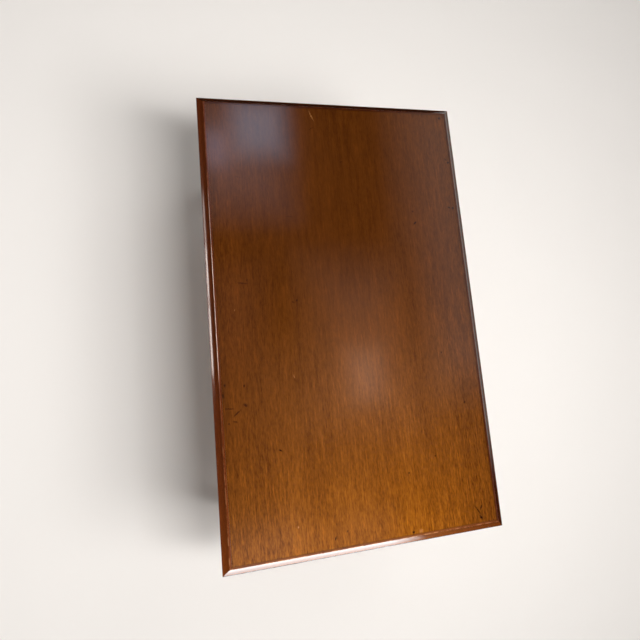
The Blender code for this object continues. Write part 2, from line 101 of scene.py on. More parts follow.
# Section of the lipping, from the veneer outwards:
# a flat land, a softened arris, a shallow hollow, a round nose and a square lower edge
LIP_LAND = 0.003
ARRIS_RADIUS = 0.004
HOLLOW_RADIUS = 0.0452
HOLLOW_STEEP = math.radians(46.0)
HOLLOW_SHALLOW = math.radians(24.0)
NOSE_RADIUS = 0.0025
LOWER_RADIUS = 0.0015
CORNER_RADIUS = 0.0022
TONGUE_THICK = 0.006
TONGUE_LENGTH = 0.006
SEAT = 0.0003
ARRIS_STEPS = 8
HOLLOW_STEPS = 16
NOSE_STEPS = 12
LOWER_STEPS = 6
CORNER_STEPS = 4
ARRIS_WIDTH = ARRIS_RADIUS * math.sin(HOLLOW_STEEP)
HOLLOW_WIDTH = HOLLOW_RADIUS * (math.sin(HOLLOW_STEEP) - math.sin(HOLLOW_SHALLOW))
NOSE_WIDTH = NOSE_RADIUS * (1.0 - math.sin(HOLLOW_SHALLOW))
MOULDING_WIDTH = ARRIS_WIDTH + HOLLOW_WIDTH + NOSE_WIDTH
LIP_WIDTH = MOULDING_WIDTH + LIP_LAND

# Wear of the lipping: how much its arris and nose are rubbed,
# and the tilt of the nose down to which it is painted dark as shade
ARRIS_WEAR = 1.0
NOSE_WEAR = 0.2
NOSE_SHADE_TILT = math.radians(70.0)
NOSE_SHADE_END = NOSE_RADIUS * (1.0 - math.sin(NOSE_SHADE_TILT))

# Eased edges of the solid pieces, and the angle up to which faces shade as one surface
FRAME_EASE = 0.0009
SMALL_EASE = 0.0006
EASE_STEPS = 4
LONG_EDGE = 0.012
FLAT_ANGLE = math.radians(0.5)
SMOOTH_ANGLE = math.radians(35.0)
MERGE_DISTANCE = 1e-6

# Slotted screw heads and domed glides
TURNED_STEPS = 28
SCREW_TIP = 0.004
SLOT_HALF_WIDTH = 0.0005
SLOT_HALF_LENGTH = 0.0029
SLOT_DEPTH = 0.0009
NAIL_RADIUS = 0.0013
NAIL_TIP = 0.004
GLIDE_THICK = 0.004
GLIDE_EASE = 0.0003
GLIDE_DOME = 0.0014
# The dome's curve, in shares of the glide's radius and of the dome's height
GLIDE_CURVE = ((0.0, 0.0), (0.45, 0.10), (0.75, 0.35), (0.93, 0.75), (1.0, 1.4))

# Camera over the left side of the top
CAMERA_PLACE = (-0.3187, -0.1488, 1.4979)
CAMERA_TURN = (8.217, -12.089, -5.117)
CAMERA_LENS = 24.05
SENSOR_WIDTH = 36.0

# Directions that the grain runs in, as the turns that bring them to the grain's own Y axis
ALONG_Y = (0.0, 0.0, 0.0)
ALONG_X = (0.0, 0.0, math.radians(90.0))
ALONG_Z = (math.radians(-90.0), 0.0, 0.0)
ALONG_RISING = (0.0, 0.0, math.radians(45.0))
ALONG_FALLING = (0.0, 0.0, math.radians(135.0))

# Features of the grain to the metre: across it, along it and into the wood
DRIFT_SCALE = (2.0, 1.1, 2.0)
BAND_SCALE = (11.0, 0.5, 11.0)
STRIPE_SCALE = (95.0, 8.0, 95.0)
STREAK_SCALE = (340.0, 26.0, 340.0)
FIBRE_SCALE = (360.0, 75.0, 360.0)
PORE_SCALE = (460.0, 200.0, 460.0)
CROWD_SCALE = (26.0, 5.0, 26.0)

# How far the grain stands out, as strengths of the relief
WOOD_RELIEF = 0.06
FIELD_RELIEF = 0.03
WOOD_RELIEF_DEPTH = 0.0002
METAL_RELIEF = 0.1
METAL_RELIEF_DEPTH = 0.0001

# How the near end of the top has faded, together with painted light that brightens it: along Y, from where
# it starts to where it is full
FADE_AND_LIGHT_START = 0.30
FADE_AND_LIGHT_FULL = -0.58
# A paler rim along the near edge, painted light, which turns darker at its right as painted shade
LIT_RIM_START = -0.47
LIT_RIM_FULL = -0.57
LIT_RIM_TURN = (0.10, 0.33)
LIT_RIM_SHARE = 0.15

# Old polish along the rim of the field: how wide and how dark it is
GRIME_WIDTH = 0.0022
GRIME_SHARE = 0.35

# Ragged edges of the marks of use: features to the metre, and how far they reach
RAGGED_SCALE = (420.0, 420.0, 420.0)
RAGGED_REACH = 0.005
# Marks of use in the field: middle (x, y), half width and half length in metres, turn in degrees, strength
DARK_MARKS = {
    "far_right_dent": (0.318, 0.547, 0.0044, 0.0046, 0.0, 1.0),
    "far_right_scuff": (0.322, 0.421, 0.0022, 0.0055, 60.0, 0.8),
    "right_edge_nick": (0.328, 0.412, 0.0028, 0.0046, -40.0, 1.0),
    "right_edge_scuff": (0.335, 0.322, 0.0026, 0.0052, -35.0, 1.0),
    "right_edge_dent": (0.325, 0.277, 0.0036, 0.0038, 0.0, 1.0),
    "right_edge_dash": (0.313, 0.279, 0.0022, 0.0052, 70.0, 0.9),
    "right_field_nick": (0.205, 0.235, 0.0026, 0.0060, -50.0, 1.0),
    "right_field_speck": (0.202, 0.268, 0.0022, 0.0032, 20.0, 0.8),
    "far_field_nick": (0.012, 0.407, 0.0014, 0.0040, -70.0, 0.7),
    "far_field_dash": (-0.062, 0.500, 0.0012, 0.0075, -55.0, 0.6),
    "left_far_scuff": (-0.263, 0.360, 0.0012, 0.0080, 78.0, 0.6),
    "left_middle_scuff": (-0.140, 0.255, 0.0012, 0.0110, 88.0, 0.5),
    "left_field_scuff": (-0.270, 0.086, 0.0015, 0.0125, 82.0, 0.8),
    "left_field_hook": (-0.258, 0.093, 0.0013, 0.0030, 0.0, 0.7),
    "middle_nick": (-0.138, 0.037, 0.0020, 0.0024, 0.0, 0.9),
    "middle_tail": (-0.148, 0.033, 0.0013, 0.0040, 65.0, 0.6),
    "left_spot": (-0.326, -0.157, 0.0028, 0.0034, 0.0, 0.9),
    "left_spot_low": (-0.331, -0.181, 0.0024, 0.0060, 15.0, 0.9),
    "left_crack": (-0.318, -0.212, 0.0016, 0.0100, 85.0, 0.8),
    "left_crack_tail": (-0.301, -0.224, 0.0018, 0.0110, -50.0, 0.8),
    "left_stain": (-0.280, -0.207, 0.0034, 0.0060, 50.0, 0.9),
    "left_stain_dot": (-0.281, -0.162, 0.0026, 0.0028, 0.0, 0.8),
    "left_low_spot": (-0.321, -0.246, 0.0020, 0.0026, 0.0, 0.8),
    "left_low_dash": (-0.306, -0.243, 0.0016, 0.0060, 70.0, 0.7),
    "near_left_dash": (-0.206, -0.320, 0.0015, 0.0048, 62.0, 1.0),
    "right_low_dot": (0.285, -0.256, 0.0026, 0.0028, 0.0, 0.9),
    "right_middle_dot": (0.236, -0.121, 0.0022, 0.0026, 0.0, 0.8),
    "near_right_dot": (0.184, -0.381, 0.0020, 0.0022, 0.0, 0.8),
    "near_middle_dot": (0.109, -0.413, 0.0020, 0.0026, 0.0, 0.8),
    "near_edge_dent": (0.104, -0.553, 0.0030, 0.0032, 0.0, 1.0),
    "near_edge_nick": (-0.092, -0.536, 0.0017, 0.0040, -20.0, 1.0),
    "near_edge_speck": (-0.062, -0.524, 0.0016, 0.0028, 0.0, 0.8),
    "corner_scratch": (0.284, -0.528, 0.0020, 0.0150, 32.0, 0.9),
    "corner_scratch_short": (0.294, -0.522, 0.0020, 0.0070, -30.0, 0.9),
    "corner_gouge": (0.291, -0.546, 0.0032, 0.0066, 30.0, 1.0),
}
PALE_MARKS = {
    "far_scratch": (-0.059, 0.536, 0.0011, 0.0130, 22.0, 0.7),
    "near_fleck": (-0.178, -0.497, 0.0016, 0.0026, -20.0, 0.8),
    "left_fleck": (-0.292, 0.020, 0.0012, 0.0024, 0.0, 0.3),
    "middle_fleck": (-0.160, -0.150, 0.0012, 0.0040, 20.0, 0.35),
    "near_bruise": (0.124, -0.553, 0.0050, 0.0040, 30.0, 0.45),
}


def linear(red, green, blue):
    """Colour as a shader takes it, from the 0 to 255 values that an eye would name."""
    channels = []
    for value in (red, green, blue):
        share = value / 255.0
        channels.append(share / 12.92 if share <= 0.04045 else ((share + 0.055) / 1.055) ** 2.4)
    return (*channels, 1.0)


def put(tree, kind, inputs=None, **settings):
    """Add a shader node with its settings, and set each input to a value or join it to an output."""
    node = tree.nodes.new(f"ShaderNode{kind}")
    for name, value in settings.items():
        setattr(node, name, value)
    for name, value in (inputs or {}).items():
        if isinstance(value, bpy.types.NodeSocket):
            tree.links.new(value, node.inputs[name])
        else:
            node.inputs[name].default_value = value
    return node


def mixed(tree, share, first, second, blend_type="MIX"):
    """Mix of two colours."""
    node = put(tree, "Mix", {0: share, 6: first, 7: second}, data_type="RGBA", blend_type=blend_type)
    return node.outputs[2]


def worked(tree, operation, first, second=0.0, third=0.0):
    """Result of one sum."""
    return put(tree, "Math", {0: first, 1: second, 2: third}, operation=operation).outputs[0]


def stepped(tree, value, low, high, start=0.0, end=1.0):
    """Soft step from start to end as a value goes from low to high."""
    sockets = {"Value": value, "From Min": low, "From Max": high, "To Min": start, "To Max": end}
    return put(tree, "MapRange", sockets, interpolation_type="SMOOTHSTEP").outputs[0]


def noise(tree, place, per_metre, detail=2.0, roughness=0.5):
    """Noise with so many features to the metre along each axis."""
    stretched = put(tree, "Mapping", {"Vector": place, "Scale": per_metre}).outputs[0]
    sockets = {"Vector": stretched, "Scale": 1.0, "Detail": detail, "Roughness": roughness}
    return put(tree, "TexNoise", sockets).outputs["Fac"]


def make_group(name, inputs, outputs):
    """Empty node group with named inputs and outputs, and its two end nodes."""
    group = bpy.data.node_groups.new(name, "ShaderNodeTree")
    for label, kind in inputs.items():
        group.interface.new_socket(label, in_out="INPUT", socket_type=f"NodeSocket{kind}")
    for label, kind in outputs.items():
        group.interface.new_socket(label, in_out="OUTPUT", socket_type=f"NodeSocket{kind}")
    return group, group.nodes.new("NodeGroupInput").outputs, group.nodes.new("NodeGroupOutput").inputs


def make_grain_group():
    """Wood grain along Y: broad bands, ribbon stripes, pale thin streaks, painted glints along them, fine
    fibres and dark pores.
    """
    inputs = {
        "Place": "Vector", "Pale": "Color", "Deep": "Color", "Pore": "Color",
        "Figure": "Float", "Fibre Amount": "Float", "Pore Amount": "Float",
    }
    outputs = {"Color": "Color", "Pores": "Float", "Height": "Float"}
    group, given, result = make_group("grain", inputs, outputs)
    drift = noise(group, given["Place"], DRIFT_SCALE, 1.0)
    sideways = worked(group, "MULTIPLY_ADD", drift, 0.016, -0.008)
    shift = put(group, "CombineXYZ", {"X": sideways}).outputs[0]
    place = put(group, "VectorMath", {0: given["Place"], 1: shift}, operation="ADD").outputs[0]

    bands = noise(group, place, BAND_SCALE, 1.0)
    stripes = noise(group, place, STRIPE_SCALE, 3.0, 0.65)
    streaks = noise(group, place, STREAK_SCALE, 1.0)
    fibres = noise(group, place, FIBRE_SCALE, 2.0, 0.6)
    tone = worked(group, "MULTIPLY_ADD", bands, 0.26, -0.13)
    tone = worked(group, "MULTIPLY_ADD", stripes, 0.42, worked(group, "SUBTRACT", tone, 0.21))
    fine = worked(group, "MULTIPLY_ADD", streaks, 0.16, -0.08)
    fine = worked(group, "MULTIPLY_ADD", fibres, 0.70, worked(group, "SUBTRACT", fine, 0.35))
    tone = worked(group, "MULTIPLY_ADD", fine, given["Fibre Amount"], tone)
    tone = worked(group, "MULTIPLY_ADD", tone, given["Figure"], 0.5)
    tone = put(group, "Clamp", {"Value": tone}).outputs[0]
    colour = mixed(group, tone, given["Deep"], given["Pale"])
    # Pale streaks of the grain brightened once more: painted glints of sheen on the polish.
    glints = stepped(group, streaks, 0.52, 0.78, 0.0, 0.20)
    glints = worked(group, "MULTIPLY", glints, given["Fibre Amount"])
    colour = mixed(group, glints, colour, given["Pale"], "ADD")

    flecks = stepped(group, noise(group, place, PORE_SCALE, 1.0), 0.56, 0.70)
    crowds = stepped(group, noise(group, place, CROWD_SCALE, 1.0), 0.35, 0.65, 0.35, 1.0)
    pores = worked(group, "MULTIPLY", flecks, crowds)
    shown = worked(group, "MULTIPLY", pores, given["Pore Amount"])
    group.links.new(mixed(group, shown, colour, given["Pore"]), result["Color"])
    group.links.new(pores, result["Pores"])
    group.links.new(worked(group, "MULTIPLY_ADD", pores, -1.0, fibres), result["Height"])
    return group


def make_fade_and_light_group():
    """How far the wood has faded, from the far end to the near end, with a cloudy edge; the same amount
    also paints in light that brightens the near end.

    It fades less towards the two sides. Side rises from the middle of the top to them.
    """
    outputs = {"Fade": "Float", "Side": "Float"}
    group, given, result = make_group("fade_and_painted_light", {"Place": "Vector"}, outputs)
    axes = put(group, "SeparateXYZ", {0: given["Place"]}).outputs
    run = put(group, "MapRange", {
        "Value": axes["Y"], "From Min": FADE_AND_LIGHT_START, "From Max": FADE_AND_LIGHT_FULL, "To Min": 0.0, "To Max": 1.0,
    }).outputs[0]
    fade_and_light = worked(group, "POWER", run, 2.0)
    aside = worked(group, "DIVIDE", worked(group, "ADD", axes["X"], 0.02), HALF_X)
    left = stepped(group, axes["X"], 0.0, -0.2)
    late = worked(group, "MULTIPLY", left, worked(group, "SUBTRACT", 1.0, run))
    late = worked(group, "MULTIPLY", late, worked(group, "ABSOLUTE", aside))
    side = worked(group, "MULTIPLY", aside, aside)
    sideways = worked(group, "MULTIPLY_ADD", side, -0.46, worked(group, "SUBTRACT", 1.0, late))
    fade_and_light = worked(group, "MULTIPLY", fade_and_light, sideways)
    # Painted light: a paler rim along the near edge, turning to painted shade at its right.
    lit_rim = stepped(group, axes["Y"], LIT_RIM_START, LIT_RIM_FULL)
    turn = stepped(group, axes["X"], *LIT_RIM_TURN, LIT_RIM_SHARE, -LIT_RIM_SHARE)
    fade_and_light = worked(group, "ADD", fade_and_light, worked(group, "MULTIPLY", lit_rim, turn))
    clouds = noise(group, given["Place"], (3.5, 2.0, 3.5), 2.0)
    fade_and_light = worked(group, "MULTIPLY_ADD", clouds, 0.20, worked(group, "SUBTRACT", fade_and_light, 0.10))
    group.links.new(put(group, "Clamp", {"Value": fade_and_light}).outputs[0], result["Fade"])
    group.links.new(side, result["Side"])
    return group


def make_rub_group():
    """Edges rubbed pale by use, in patches, where the wear mask is high."""
    group, given, result = make_group(
        "edge_rub", {"Place": "Vector", "Color": "Color", "Rubbed": "Color", "Wear": "Float"},
        {"Color": "Color", "Rub": "Float"},
    )
    patches = stepped(group, noise(group, given["Place"], (55.0, 55.0, 55.0), 3.0, 0.6), 0.40, 0.62)
    rub = worked(group, "MULTIPLY", patches, given["Wear"])
    group.links.new(mixed(group, rub, given["Color"], given["Rubbed"]), result["Color"])
    group.links.new(rub, result["Rub"])
    return group


def new_material(name):
    """Material with its node tree and its shader."""
    material = bpy.data.materials.new(name)
    material.use_nodes = True
    return material, material.node_tree, material.node_tree.nodes["Principled BSDF"]


def place_group(tree, group, inputs):
    """Put a node group into a material."""
    return put(tree, "Group", inputs, node_tree=group).outputs


def relief(tree, shader, height, strength, depth):
    """Fine relief of a surface, from a height."""
    bump = put(tree, "Bump", {"Height": height, "Strength": strength, "Distance": depth})
    tree.links.new(bump.outputs[0], shader.inputs["Normal"])


def make_wood(
    name, groups, grain, pale, deep, pore, roughness,
    figure=2.2, pores=0.5, rubbed=None, faded_and_lit=None, nose_shade=None,
):
    """Solid wood with its grain in one direction, and edges rubbed pale if a colour is given for them.

    Three faded colours, pale, deep and rubbed, take over towards the near end, as fading together with
    painted light.
    A colour of painted shade darkens and dulls the nose.
    """
    material, tree, shader = new_material(name)
    place = put(tree, "TexCoord").outputs["Object"]
    turned = put(tree, "Mapping", {"Vector": place, "Rotation": grain}).outputs[0]
    if faded_and_lit is not None:
        # Fading with painted light: the near end paler and brighter.
        fade_and_light = place_group(tree, groups["fade_and_light"], {"Place": place})["Fade"]
        pale = mixed(tree, fade_and_light, pale, faded_and_lit[0])
        deep = mixed(tree, fade_and_light, deep, faded_and_lit[1])
        rubbed = mixed(tree, fade_and_light, rubbed, faded_and_lit[2])
    wood = place_group(tree, groups["grain"], {
        "Place": turned, "Pale": pale, "Deep": deep, "Pore": pore,
        "Figure": figure, "Fibre Amount": 0.6, "Pore Amount": pores,
    })
    colour = wood["Color"]
    gloss = worked(tree, "MULTIPLY_ADD", wood["Pores"], 0.08, roughness)
    if rubbed is not None:
        wear = put(tree, "Attribute", None, attribute_name="wear").outputs["Fac"]
        edge = place_group(tree, groups["rub"], {
            "Place": place, "Color": colour, "Rubbed": rubbed, "Wear": wear,
        })
        colour = edge["Color"]
        gloss = worked(tree, "MULTIPLY_ADD", edge["Rub"], 0.03, gloss)
    if nose_shade is not None:
        # Painted shade: the nose darkened into a dark edge line.
        nose_shade_mask = put(tree, "Attribute", None, attribute_name="nose_shade").outputs["Fac"]
        colour = mixed(tree, nose_shade_mask, colour, nose_shade)
        gloss = worked(tree, "MULTIPLY_ADD", nose_shade_mask, 0.7, gloss)
    tree.links.new(colour, shader.inputs["Base Color"])
    tree.links.new(gloss, shader.inputs["Roughness"])
    relief(tree, shader, wood["Height"], WOOD_RELIEF, WOOD_RELIEF_DEPTH)
    return material


def marks_mask(tree, place, marks):
    """How strongly each point is marked, from a list of small ragged spots and strokes."""
    shake = noise(tree, place, RAGGED_SCALE, 2.0)
    ragged = worked(tree, "MULTIPLY_ADD", shake, RAGGED_REACH, -RAGGED_REACH / 2.0)
    shift = put(tree, "CombineXYZ", {"X": ragged, "Y": ragged}).outputs[0]
    moved = put(tree, "VectorMath", {0: place, 1: shift}, operation="ADD").outputs[0]
    whole = None
    for x, y, half_width, half_length, turn, strength in marks.values():
        spot = put(tree, "Mapping", {
            "Vector": moved,
            "Location": (x, y, 0.0),
            "Rotation": (0.0, 0.0, math.radians(turn)),
            "Scale": (half_width, half_length, 1.0),
        }, vector_type="TEXTURE").outputs[0]
        flat = put(tree, "VectorMath", {0: spot, 1: (1.0, 1.0, 0.0)}, operation="MULTIPLY").outputs[0]
        away = put(tree, "VectorMath", {0: flat}, operation="LENGTH").outputs["Value"]
        mask = stepped(tree, away, 0.2, 1.6, strength, 0.0)
        whole = mask if whole is None else worked(tree, "MAXIMUM", whole, mask)
    return whole


def make_field(groups):
    """Face veneer: lengthwise mahogany, faded and brightened by painted light at the near end, under a
    clear finish with marks of use.
    """
    material, tree, shader = new_material("mahogany_field")
    place = put(tree, "TexCoord").outputs["Object"]
    spread = place_group(tree, groups["fade_and_light"], {"Place": place})
    # Fading with painted light: paler, more figured wood towards the near end.
    fade_and_light = spread["Fade"]
    fibres = worked(tree, "MULTIPLY_ADD", fade_and_light, 0.50, 0.52)
    fibres = worked(tree, "MULTIPLY_ADD", spread["Side"], 0.6, fibres)
    wood = place_group(tree, groups["grain"], {
        "Place": place,
        "Pale": mixed(tree, fade_and_light, linear(102, 53, 14), linear(164, 97, 19)),
        "Deep": mixed(tree, fade_and_light, linear(54, 23, 2), linear(80, 34, 2)),
        "Pore": mixed(tree, fade_and_light, linear(46, 19, 2), linear(76, 34, 2)),
        "Figure": worked(tree, "MULTIPLY_ADD", fade_and_light, 0.1, 1.6),
        "Fibre Amount": fibres,
        "Pore Amount": worked(tree, "MULTIPLY_ADD", fade_and_light, 0.10, 0.10),
    })
    dark = marks_mask(tree, place, DARK_MARKS)
    pale = marks_mask(tree, place, PALE_MARKS)
    colour = mixed(tree, dark, wood["Color"], linear(44, 19, 5))
    colour = mixed(tree, pale, colour, linear(190, 132, 74))

    sides = put(tree, "VectorMath", {0: place}, operation="ABSOLUTE").outputs[0]
    corner = (VENEER_HIGH.x, VENEER_HIGH.y, 0.0)
    inward = put(tree, "VectorMath", {0: corner, 1: sides}, operation="SUBTRACT").outputs[0]
    margins = put(tree, "SeparateXYZ", {0: inward}).outputs
    margin = worked(tree, "MINIMUM", margins["X"], margins["Y"])
    grime = stepped(tree, margin, 0.0, GRIME_WIDTH, GRIME_SHARE, 0.0)
    colour = mixed(tree, grime, colour, linear(46, 20, 6))
    tree.links.new(colour, shader.inputs["Base Color"])

    smears = noise(tree, place, (7.0, 4.0, 7.0), 3.0, 0.6)
    gloss = worked(tree, "MULTIPLY_ADD", smears, 0.05, 0.085)
    gloss = worked(tree, "MULTIPLY_ADD", wood["Pores"], 0.03, gloss)
    tree.links.new(gloss, shader.inputs["Roughness"])
    sunk = worked(tree, "MULTIPLY_ADD", dark, -0.5, wood["Height"])
    relief(tree, shader, sunk, FIELD_RELIEF, WOOD_RELIEF_DEPTH)
    return material


def make_metal(name, colour, roughness, per_metre):
    """Plated steel with faint turning marks and handling."""
    material, tree, shader = new_material(name)
    place = put(tree, "TexCoord").outputs["Object"]
    scuffs = noise(tree, place, (per_metre, per_metre, per_metre * 0.3), 3.0, 0.6)
    worn = tuple(0.72 * channel for channel in colour[:3])
    tree.links.new(mixed(tree, scuffs, (*worn, 1.0), colour), shader.inputs["Base Color"])
    tree.links.new(worked(tree, "MULTIPLY_ADD", scuffs, 0.25, roughness), shader.inputs["Roughness"])
    shader.inputs["Metallic"].default_value = 1.0
    relief(tree, shader, scuffs, METAL_RELIEF, METAL_RELIEF_DEPTH)
    return material


def make_materials():
    """Every finish of the table, by name."""
    groups = {"grain": make_grain_group(), "rub": make_rub_group(), "fade_and_light": make_fade_and_light_group()}
    lit_lipping = {
        "pale": linear(104, 49, 19), "deep": linear(79, 32, 11), "pore": linear(50, 19, 8),
        "faded_and_lit": (linear(136, 70, 26), linear(112, 53, 17), linear(170, 112, 70)),
        "roughness": 0.13, "pores": 0.4, "rubbed": linear(116, 62, 34),
    }
    near_lipping = {
        **lit_lipping,
        "faded_and_lit": (linear(132, 75, 32), linear(106, 56, 22), linear(168, 112, 66)),
        # Painted shade on the nose of the near end.
        "nose_shade": linear(34, 18, 12),
    }
    # Slightly darker copy for the right side and far end, which face away from the lamps: painted shade.
    shaded_lipping = {
        "pale": linear(96, 44, 16), "deep": linear(74, 30, 9), "pore": linear(46, 18, 7),
        "roughness": 0.13, "pores": 0.4, "rubbed": linear(112, 60, 32),
    }
    frame_wood = {
        "pale": linear(116, 60, 32), "deep": linear(86, 38, 18), "pore": linear(50, 21, 10),
        "roughness": 0.24, "pores": 0.55, "rubbed": linear(142, 84, 52),
    }
    beech = {
        "pale": linear(206, 170, 126), "deep": linear(180, 138, 94), "pore": linear(138, 96, 60),
        "roughness": 0.55, "figure": 1.6, "pores": 0.6, "rubbed": linear(218, 186, 146),
    }
    return {
        "field": make_field(groups),
        "lipping_left": make_wood("mahogany_lipping_left", groups, ALONG_Y, **lit_lipping),
        "lipping_right": make_wood("mahogany_lipping_right", groups, ALONG_Y, **shaded_lipping),
        "lipping_near": make_wood("mahogany_lipping_near", groups, ALONG_X, **near_lipping),
        "lipping_far": make_wood("mahogany_lipping_far", groups, ALONG_X, **shaded_lipping),
        "frame_side": make_wood("mahogany_frame_side", groups, ALONG_Y, **frame_wood),
        "frame_end": make_wood("mahogany_frame_end", groups, ALONG_X, **frame_wood),
        "leg": make_wood("mahogany_leg", groups, ALONG_Z, **frame_wood),
        "beech_across": make_wood("beech_across", groups, ALONG_X, **beech),
        "beech_along": make_wood("beech_along", groups, ALONG_Y, **beech),
        "beech_rising": make_wood("beech_rising", groups, ALONG_RISING, **beech),
        "beech_falling": make_wood("beech_falling", groups, ALONG_FALLING, **beech),
        "core": make_wood(
            "core_strips", groups, ALONG_Y,
            linear(204, 176, 130), linear(172, 138, 92), linear(140, 106, 66), 0.7, figure=2.6, pores=0.4,
        ),
        "backing": make_wood(
            "backing_sheet", groups, ALONG_Y,
            linear(166, 118, 78), linear(134, 88, 52), linear(94, 58, 34), 0.55, figure=2.0, pores=0.6,
        ),
        "screw": make_metal("slotted_steel", linear(178, 174, 164), 0.28, 700.0),
        "glide": make_metal("nickelled_steel", linear(184, 182, 176), 0.18, 300.0),
    }


def make_piece(name, shape, material, node):
    """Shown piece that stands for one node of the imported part."""
    mesh = bpy.data.meshes.new(name)
    shape.to_mesh(mesh)
    shape.free()
    mesh.shade_smooth()
    mesh.set_sharp_from_angle(angle=SMOOTH_ANGLE)
    mesh.materials.append(material)
    piece = bpy.data.objects.new(name, mesh)
    bpy.context.scene.collection.objects.link(piece)
    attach(piece, "root")
    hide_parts(node)
    return piece


def bend(points, radius, start, end, steps):
    """Carry a section on along an arc, as its face tilts out from start to end, or back in a hollow."""
    side = 1.0 if end > start else -1.0
    inset, height = points[-1]
    for step in range(1, steps + 1):
        tilt = start + (end - start) * step / steps
        across = side * radius * (math.sin(start) - math.sin(tilt))
        rise = side * radius * (math.cos(tilt) - math.cos(start))
        points.append((inset + across, height + rise))


def lipping_section():
    """Whole section of the lipping, as (distance in from its outer face, height) points."""
    land_hold = LIP_LAND / 4.0
    points = [(LIP_WIDTH, TABLE_TOP), (MOULDING_WIDTH + land_hold, TABLE_TOP), (MOULDING_WIDTH, TABLE_TOP)]
    bend(points, ARRIS_RADIUS, 0.0, HOLLOW_STEEP, ARRIS_STEPS)
    bend(points, HOLLOW_RADIUS, HOLLOW_STEEP, HOLLOW_SHALLOW, HOLLOW_STEPS)
    bend(points, NOSE_RADIUS, HOLLOW_SHALLOW, math.pi / 2.0, NOSE_STEPS)
    points.append((0.0, LIP_BOTTOM + LOWER_RADIUS))
    bend(points, LOWER_RADIUS, math.pi / 2.0, math.pi, LOWER_STEPS)
    tongue_middle = (CORE_LOW.z + CORE_HIGH.z) / 2.0
    low = tongue_middle - TONGUE_THICK / 2.0 - SEAT
    high = tongue_middle + TONGUE_THICK / 2.0 + SEAT
    groove_end = LIP_WIDTH - TONGUE_LENGTH - SEAT
    points.append((LIP_WIDTH, LIP_BOTTOM))
    points += [(LIP_WIDTH, low), (groove_end, low), (groove_end, high), (LIP_WIDTH, high)]
    return points


def inset_of(point):
    """How far a point is in from the outline of the top."""
    return min(HALF_X - abs(point.x), HALF_Y - abs(point.y))


def lipping_frame():
    """All four lengths of lipping as one ring, with its outer corners rounded over."""
    shape = bmesh.new()
    section = lipping_section()
    corner = [shape.verts.new((inset - HALF_X, inset - HALF_Y, height)) for inset, height in section]
    edges = [shape.edges.new(pair) for pair in zip(corner, corner[1:] + corner[:1])]
    for across in (True, False, True, False):
        made = bmesh.ops.extrude_edge_only(shape, edges=edges)["geom"]
        points = {item for item in made if isinstance(item, bmesh.types.BMVert)}
        lines = [item for item in made if isinstance(item, bmesh.types.BMEdge)]
        edges = [line for line in lines if points.issuperset(line.verts)]
        bmesh.ops.scale(shape, vec=(-1.0, 1.0, 1.0) if across else (1.0, -1.0, 1.0), verts=list(points))
    bmesh.ops.remove_doubles(shape, verts=shape.verts, dist=MERGE_DISTANCE)
    bmesh.ops.recalc_face_normals(shape, faces=shape.faces)
    mitres = []
    for edge in shape.edges:
        on_mitre = all(
            abs((HALF_X - abs(end.co.x)) - (HALF_Y - abs(end.co.y))) < MERGE_DISTANCE for end in edge.verts
        )
        if on_mitre and all(inset_of(end.co) < MOULDING_WIDTH + MERGE_DISTANCE for end in edge.verts):
            mitres.append(edge)
    bmesh.ops.bevel(
        shape, geom=mitres, offset=CORNER_RADIUS, offset_type="OFFSET", segments=CORNER_STEPS, profile=0.5,
        affect="EDGES", material=-1, clamp_overlap=True,
    )
    return shape


def mark_worn_edges(shape):
    """Wear mask on the arris and the nose of the lipping, and a mask of painted shade on its nose."""
    wear = shape.verts.layers.float.new("wear")
    nose_shade = shape.verts.layers.float.new("nose_shade")
    hold = MERGE_DISTANCE * 10.0
    for point in shape.verts:
        inset = inset_of(point.co)
        rise = point.co.z - LIP_BOTTOM
        above = rise > 2.0 * LOWER_RADIUS
        on_arris = MOULDING_WIDTH - ARRIS_WIDTH + hold < inset < MOULDING_WIDTH - hold
        # Nose below the tilt: marked for painted shade.
        if above and NOSE_SHADE_END < inset < NOSE_WIDTH + hold:
            point[nose_shade] = 1.0
        if on_arris and rise > LOWER_RADIUS:
            point[wear] = ARRIS_WEAR
        elif above and inset < NOSE_WIDTH - hold:
            point[wear] = NOSE_WEAR


def make_lipping(name, outward, material):
    """One length of the ring, cut off at its two mitres with a hair's gap."""
    shape = lipping_frame()
    gap = SEAT / 2.0
    for sign in (-1.0, 1.0):
        if outward.x:
            corner = Vector((outward.x * HALF_X, sign * HALF_Y, 0.0))
            away = Vector((-outward.x, sign, 0.0)).normalized()
        else:
            corner = Vector((sign * HALF_X, outward.y * HALF_Y, 0.0))
            away = Vector((sign, -outward.y, 0.0)).normalized()
        bmesh.ops.bisect_plane(
            shape, geom=shape.verts[:] + shape.edges[:] + shape.faces[:], dist=MERGE_DISTANCE,
            plane_co=corner - away * gap, plane_no=away, clear_outer=True,
        )
    bmesh.ops.holes_fill(shape, edges=[edge for edge in shape.edges if edge.is_boundary])
    bmesh.ops.recalc_face_normals(shape, faces=shape.faces)
    mark_worn_edges(shape)
    make_piece(f"moulded_{name}", shape, material, name)


def make_lippings(materials):
    """Four lengths of moulded lipping."""
    make_lipping("lipping_left_side", Vector((-1.0, 0.0, 0.0)), materials["lipping_left"])
    make_lipping("lipping_right_side", Vector((1.0, 0.0, 0.0)), materials["lipping_right"])
    make_lipping("lipping_near_end", Vector((0.0, -1.0, 0.0)), materials["lipping_near"])
    make_lipping("lipping_far_end", Vector((0.0, 1.0, 0.0)), materials["lipping_far"])


